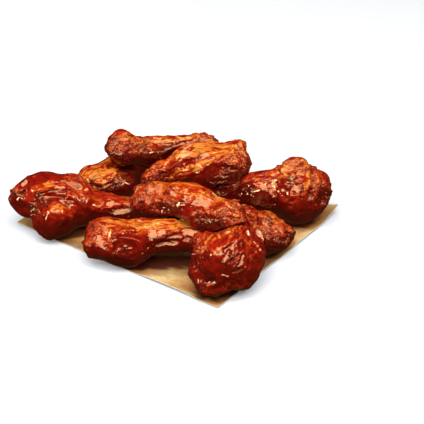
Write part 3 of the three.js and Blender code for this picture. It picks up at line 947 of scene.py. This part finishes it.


# %% [markdown]
# ## Sauce over roasted skin
#
# The sauce is a dark red glaze. Where it is thick it hides the skin, and where it has run off the tops of the
# folds, orange and golden skin shows through. Char is nearly black and dull. Shade is painted into the colour
# in the creases, between the wings, on their undersides and in the shade marks, and the crests and the glow
# marks are painted lighter, partly as bared skin. A clear coat over all of that would mirror white light as
# white. Oil and paprika warm it, so the shader's own reflection is used instead, with a tint, and it is
# sharpest where the sauce has pooled and in the wet gaps between the wings.

# %% Sauced skin
SKIN_TONES = (                              # from the thickest sauce to bare, roasted skin
    (0.00, colour(92, 8, 4)),
    (0.20, colour(134, 15, 7)),
    (0.42, colour(160, 34, 11)),
    (0.62, colour(182, 62, 12)),
    (0.82, colour(196, 88, 20)),
    (1.00, colour(208, 122, 44)),
)
OVER_IT = {                                 # laid over the tones in this order: a colour, and how far it covers
    # painted shade in the creases
    "crease_shade": (colour(84, 7, 3), 0.65),
    "speck": (colour(226, 146, 66), 0.4),
    "char": (colour(40, 18, 10), 0.85),
    # painted shade between the wings, under them and in the shade marks
    "painted_shade": (colour(60, 6, 5), 0.85),
}
SHEEN = (1.0, 0.67, 0.32, 1.0)              # oil and paprika warm what the sauce reflects
TONE = {"mottle": 0.55, "fine": 0.35, "bare_and_lit_crest": 0.25, "base": 0.02}
DULL = {"bare": 0.1, "rough": 0.04, "char": 0.1, "fine": 0.08, "least": 0.02}
GRAIN = {"least": 0.3, "rough": 0.4, "pooled": 0.2}     # how strong the finest bumps are
# where shade is painted, the skin is also made less rough and its finest bumps weaker
CALM_IN_PAINTED_SHADE = 0.6

skin = Shader("sauced_skin")
MASKS = ("roast", "char", "pooled", "rough", "crease_shade", "bare_and_lit_crest", "speck", "painted_shade")
on = {name: skin.mask(name) for name in MASKS}
mottle = skin.grain(3.5 * MM, 3.0)
fine = skin.grain(0.8 * MM)

tone = on["roast"] + (mottle - 0.5) * TONE["mottle"] + (fine - 0.5) * TONE["fine"]
# the crests are painted lighter: partly bared skin, partly painted light
tone = tone + on["bare_and_lit_crest"] * TONE["bare_and_lit_crest"] + TONE["base"]
colours = skin.ramp(tone, SKIN_TONES)
for name, (shade, cover) in OVER_IT.items():
    colours = skin.mix(on[name] * cover, colours, shade)
wet = 1 - on["painted_shade"] * CALM_IN_PAINTED_SHADE
dullness = (1 - on["pooled"]) * DULL["bare"] + on["rough"] * DULL["rough"]
dullness = (dullness + on["char"] * DULL["char"] + fine * DULL["fine"]) * wet + DULL["least"]
bumpiness = (GRAIN["least"] + on["rough"] * GRAIN["rough"] - on["pooled"] * GRAIN["pooled"]) * wet
skin_material = skin.finish(
    {"Base Color": colours, "Roughness": dullness, "Normal": skin.bump(fine, 0.5 * MM, bumpiness)},
    {"IOR": 1.65, "Specular IOR Level": 0.85, "Specular Tint": SHEEN},
)
for wing in wings:
    wing.data.materials.clear()
    wing.data.materials.append(skin_material)
print("sauced skin:", len(skin.tree.nodes), "nodes")

# %% [markdown]
# ## The sheet of paper
#
# Brown wrapping paper is a thin sheet. It lies flat under the food, and between the wings it waves a little.
# Its free edges lift, and one corner curls up. A single face would do for a picture, but a sheet with two
# faces and a rim can also be held and turned, so the same grid of points is used twice and joined round its
# edge. The grid has an extra line close to each edge, which bounds a thin highlight painted along the edge.

# %% The sheet's grid
THICKNESS = 0.4
EDGE_HIGHLIGHT_WIDTH = 0.5                                   # width of the highlight painted along the edge, in millimetres
SHEET_CELLS = (77, 64)

low, high = np.array(sheet_low) / MM, np.array(sheet_high) / MM


def grid_line(start, end, cells):
    return np.concatenate([[start], np.linspace(start + EDGE_HIGHLIGHT_WIDTH, end - EDGE_HIGHLIGHT_WIDTH, cells + 1), [end]])


lines_x, lines_y = (grid_line(low[n], high[n], SHEET_CELLS[n]) for n in (0, 1))
grid_x, grid_y = np.meshgrid(lines_x, lines_y)
flat_x, flat_y = grid_x.ravel(), grid_y.ravel()
on_sheet = np.stack([flat_x, flat_y, 0 * flat_x], 1)
per_face = len(flat_x)
print("grid:", grid_x.shape)

# %% How far the wings are
LOOK_REACH = 30.0
FOOT = {"height": 9.0, "slope": 0.8}        # only the lowest part of a wing soaks the sheet
EVERY = 7                                   # this many points of a wing are stood for by one
AT_ONCE = 500                               # points of the sheet worked out together

wing_points = np.concatenate([read_vectors(wing.data.vertices, "co")[::EVERY] for wing in wings]) / MM
wing_points = wing_points[wing_points[:, 2] < FOOT["height"]]
nearest = np.full(per_face, LOOK_REACH)
for start in range(0, per_face, AT_ONCE):
    some = slice(start, start + AT_ONCE)
    away = np.hypot(flat_x[some, None] - wing_points[:, 0], flat_y[some, None] - wing_points[:, 1])
    nearest[some] = np.hypot(away, FOOT["slope"] * wing_points[:, 2]).min(1)
print(f"furthest spot from a wing: {nearest.max():.0f} mm")

# %% The sheet's form
CURL_REACH = 26.0
CURL_HEIGHT = high[2] - THICKNESS
WAVE = {"size": 24.0, "height": 0.3, "seed": 3, "edge": (0.0, 0.8), "free": (1.0, 5.0)}
EDGE = {"size": 40.0, "height": 1.5, "seed": 5, "edge": (-0.6, 0.4), "free": (2.0, 8.0), "reach": 10.0}


def uneven_lift(kind):
    """Bulges of one kind. free says how far from a wing they begin, and how far from it they are whole."""
    bulges = kind["height"] * ease(noise(on_sheet, kind["size"], kind["seed"]), *kind["edge"])
    return bulges * ease(nearest, *kind["free"])


from_corner = (high[0] - flat_x) + (high[1] - flat_y)
from_edge = np.min([flat_x - low[0], high[0] - flat_x, flat_y - low[1], high[1] - flat_y], 0)
curl = CURL_HEIGHT * np.maximum(0, 1 - from_corner / CURL_REACH) ** 2
lift = uneven_lift(EDGE) * ease(from_edge, EDGE["reach"], 0.0)
rise = curl + (uneven_lift(WAVE) + lift) * np.minimum(1, from_corner / CURL_REACH)
under = on_sheet + [0, 0, 1] * rise[:, None]

sheet_points = np.concatenate([under, under + [0, 0, THICKNESS]])
index = np.arange(per_face).reshape(grid_x.shape)
cells = np.stack([index[:-1, :-1], index[:-1, 1:], index[1:, 1:], index[1:, :-1]], -1).reshape(-1, 4)
rim = np.concatenate([index[0, :-1], index[:-1, -1], index[-1, :0:-1], index[:0:-1, 0]])
rim_next = np.roll(rim, -1)
walls = np.stack([rim, rim_next, rim_next + per_face, rim + per_face], 1)
faces = np.concatenate([cells[:, ::-1], cells + per_face, walls])
sheet_mesh = bpy.data.meshes.new("paper_sheet")
sheet_mesh.from_pydata((sheet_points * MM).tolist(), [], faces.tolist())
paper = new_object("paper_sheet", sheet_mesh)
print("paper:", len(faces), "faces, edges lifted up to", round(float(lift.max()), 2), "mm")

# %% [markdown]
# ## Grease and sauce on the paper
#
# Fat and sauce soak into the paper round each wing, so it turns a deeper caramel there. The distance from the
# paper to the nearest wing, with a little noise, is all that a stain needs. Close round the foot of each wing,
# and where sauce has run out from under one, the paper is painted nearly black, partly as sauce and partly as
# painted shadow. Those places are given through the camera, as the marks on the wings are.

# %% Stains
SPILLS_AND_SHADOWS = [                                  # sauce and painted shadow: depth of colour, radius in millimetres, spots in the picture
    (1.0, 8, (140, 264), (164, 263), (190, 262)),
    (0.9, 4, (58, 238), (84, 233)),
    (0.5, 4, (62, 241), (78, 246)),
    (0.4, 9, (140, 268), (164, 268), (188, 267)),
    (0.6, 4, (202, 294), (226, 299), (246, 292)),
    (0.6, 4, (262, 268), (276, 254)),
    (0.6, 5, (288, 226), (308, 220)),
]
SPILL_AND_SHADOW_EDGE = (1.5, 0.6)                     # in radii
STAIN = {"reach": (16.0, 1.0), "uneven": 4.0, "streaky": 2.0}
SAUCE_AND_SHADOW = {"reach": (5.0, 1.0), "streaky": 1.5, "spill_streaky": 0.35}
EDGE_HIGHLIGHT_SHARE = 0.6


def on_table(spot):
    """The point of the table that the camera sees at a spot of its picture, in millimetres."""
    ray = ray_through(spot)
    return np.array(camera.location - ray * (camera.location.z / ray.z))[:2] / MM


uneven = layered(on_sheet, 10.0, 41)
streaky = layered(on_sheet, np.array([9.0, 3.0, 3.0]), 42)
spilt_and_shadow = np.zeros(per_face)
for depth, radius, *spots in SPILLS_AND_SHADOWS:
    places = [on_table(spot) for spot in spots]
    for start, end in zip(places, places[1:]):
        gap = beside(on_sheet[:, :2], start, end)[1]
        spilt_and_shadow = np.maximum(spilt_and_shadow, depth * ease(gap / radius + SAUCE_AND_SHADOW["spill_streaky"] * streaky, *SPILL_AND_SHADOW_EDGE))
stain = ease(nearest - STAIN["uneven"] * uneven - STAIN["streaky"] * streaky, *STAIN["reach"])
# close round each wing's foot the paper is painted nearly black: partly sauce, partly painted shadow
sauce_and_painted_shadow = np.maximum(spilt_and_shadow, ease(nearest - SAUCE_AND_SHADOW["streaky"] * streaky, *SAUCE_AND_SHADOW["reach"]))
# a thin highlight painted along the sheet's edge
painted_edge_highlight = ease(from_edge, EDGE_HIGHLIGHT_SHARE * EDGE_HIGHLIGHT_WIDTH, 0.0)
for name, values in (("stain", stain), ("sauce_and_painted_shadow", sauce_and_painted_shadow), ("painted_edge_highlight", painted_edge_highlight)):
    write_mask(sheet_mesh, name, np.concatenate([values, values]))
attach(paper, BODY)
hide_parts("brown_paper")
paper.visible_glossy = False                # the undersides stay deep red instead of mirroring it
print(f"stained share: {stain.mean():.2f}")

# %% Paper finish
PAPER_BROWN, PAPER_PALE = colour(194, 148, 84), colour(228, 199, 140)
PAPER_STAINS_SHADOW_AND_HIGHLIGHT = {                            # laid over the paper in this order: a colour, and how far it covers
    "stain": (colour(168, 98, 38), 0.8),
    "sauce_and_painted_shadow": (colour(56, 7, 4), 0.97),
    # sauce and painted shadow
    "painted_edge_highlight": (colour(250, 240, 214), 0.8),
# painted highlight along the edge
}
FIBRE = {"size": 0.6 * MM, "stretch": (0.25, 1.0, 1.0), "edge": (0.35, 0.65), "share": 0.5}
PAPER_DULL = {"dry": 0.85, "greasy": 0.35}

kraft = Shader("kraft_paper")
stretched = kraft.node("ShaderNodeMapping", {}, {"Vector": kraft.place(), "Scale": FIBRE["stretch"]})
fibres = kraft.grain(FIBRE["size"], 3.0, stretched)
cloudy = kraft.grain(9 * MM, 3.0) * FIBRE["share"] + fibres * FIBRE["share"]
paper_colour = kraft.mix(kraft.step(cloudy, *FIBRE["edge"]), PAPER_BROWN, PAPER_PALE)
for name, (shade, cover) in PAPER_STAINS_SHADOW_AND_HIGHLIGHT.items():
    paper_colour = kraft.mix(kraft.mask(name) * cover, paper_colour, shade)
paper_dullness = PAPER_DULL["dry"] - kraft.mask("stain") * PAPER_DULL["greasy"]
sheet_mesh.materials.append(kraft.finish(
    {"Base Color": paper_colour, "Roughness": paper_dullness, "Normal": kraft.bump(fibres, 0.15 * MM, 0.4)},
    {"Specular IOR Level": 0.15},
))
print("kraft paper:", len(kraft.tree.nodes), "nodes")

# %% [markdown]
# ## The floor
#
# The pile stands on a plain pale floor in a white studio. The floor glows a little, so that the shadows on it
# stay light. Further out it thins until only the white behind it is left, so no horizon shows from any side.

# %% Floor
FLOOR_SIDE = 3.0
FLOOR_FADES = (0.35, 0.75)                  # between these distances it gives way to the white behind it
FLOOR_DROP = 0.2 * MM

half = FLOOR_SIDE / 2
corners = [(-half, -half, 0), (half, -half, 0), (half, half, 0), (-half, half, 0)]
floor_mesh = bpy.data.meshes.new("floor")
floor_mesh.from_pydata(corners, [], [(0, 1, 2, 3)])
floor = new_object("floor", floor_mesh)
floor.location.z = -FLOOR_DROP
white = Shader("white_floor")
far = white.node("ShaderNodeVectorMath", {"operation": "LENGTH"}, {0: white.place()}, "Value")
whiteness = {"Base Color": (0.7, 0.71, 0.73, 1), "Roughness": 0.9}
whiteness |= {"Emission Color": (0.9, 0.95, 1, 1), "Emission Strength": 0.13}
floor_mesh.materials.append(white.finish({"Alpha": 1 - white.step(far, *FLOOR_FADES)}, whiteness))
floor.visible_diffuse = False
floor.visible_glossy = False                # wet sauce would mirror it, and lose its depth of colour
print("floor:", FLOOR_SIDE, "m square")

# %% [markdown]
# ## Lights
#
# Gloss shows only what it reflects. A studio would light wet sauce with a large softbox high over the camera,
# two narrow strips beside it for small white glints, and a dark room all round that leaves the sauce its
# depth. A large softbox gives soft shadows, but its reflection would cover every wing. Here it is split in
# two: the key lights the pile and isn't mirrored, and a smaller gloss light is mirrored and nothing else. It
# hangs a little nearer, because one light in the very place of another would be hidden. Two weak fills
# brighten the far and the near side, and aren't mirrored either.

# %% Softboxes
STRIP_SIZE = (0.18, 0.4)
FILL_SIZE = (1.0, 0.6)
LIGHTS = {                                  # where it hangs, metres away, its size, its radiance, what it does
    "key": (KEY, 1.2, (1.3, 1.1), 4.6, "lights"),
    "gloss": (KEY, 1.1, (0.8, 0.6), 5.4, "is mirrored"),
    "left": (LEFT_STRIP, 1.2, STRIP_SIZE, 17, "both"),
    "right": (RIGHT_STRIP, 1.2, STRIP_SIZE, 17, "both"),
    "back": ((-140, 45), 1.2, FILL_SIZE, 1.7, "lights"),
    "front": ((-20, 25), 1.2, FILL_SIZE, 2.1, "lights"),
}


def softbox(name, where, distance, size, radiance, role):
    """A rectangular light that faces the pile, placed by its direction from there. A white wall in full light
    has a radiance of 1."""
    data = bpy.data.lights.new(name, "AREA")
    data.shape = "RECTANGLE"
    data.size, data.size_y = size
    data.energy = radiance * math.pi * size[0] * size[1]
    light = new_object(name, data)
    look_back(light, Vector(), Vector(from_camera(*where)), distance)
    light.visible_glossy = role != "lights"
    light.visible_diffuse = role != "is mirrored"


for name, setting in LIGHTS.items():
    softbox(name, *setting)
print("lights:", len(bpy.data.lights))

# %% [markdown]
# ## The room
#
# The world plays three parts. The camera sees plain white. The sauce mirrors a dark, warm room. And everything
# gets a little even light from all round. Light Path nodes tell the kinds of ray apart.

# %% World
WHITE = (1, 1, 1, 1)
DARK_ROOM = (0.10, 0.04, 0.02, 1)
EVEN_LIGHT = 0.05

world = bpy.data.worlds.new("studio")
world.use_nodes = True
sky = Nodes(world.node_tree)
even = sky.node("ShaderNodeBackground", {}, {"Color": WHITE, "Strength": EVEN_LIGHT})
mirrored = sky.node("ShaderNodeBackground", {}, {"Color": DARK_ROOM})
seen = sky.node("ShaderNodeBackground", {}, {"Color": WHITE})
for ray, surface in (("Is Glossy Ray", mirrored), ("Is Camera Ray", seen)):
    is_ray = sky.node("ShaderNodeLightPath", {}, {}, ray)
    even = sky.node("ShaderNodeMixShader", {}, {0: is_ray, 1: even, 2: surface})
sky.connect(sky.tree.nodes["World Output"].inputs["Surface"], even)
sky.tree.nodes.remove(sky.tree.nodes["Background"])
bpy.context.scene.world = world
bpy.context.scene.view_settings.view_transform = "Standard"
print("world:", len(sky.tree.nodes), "nodes")
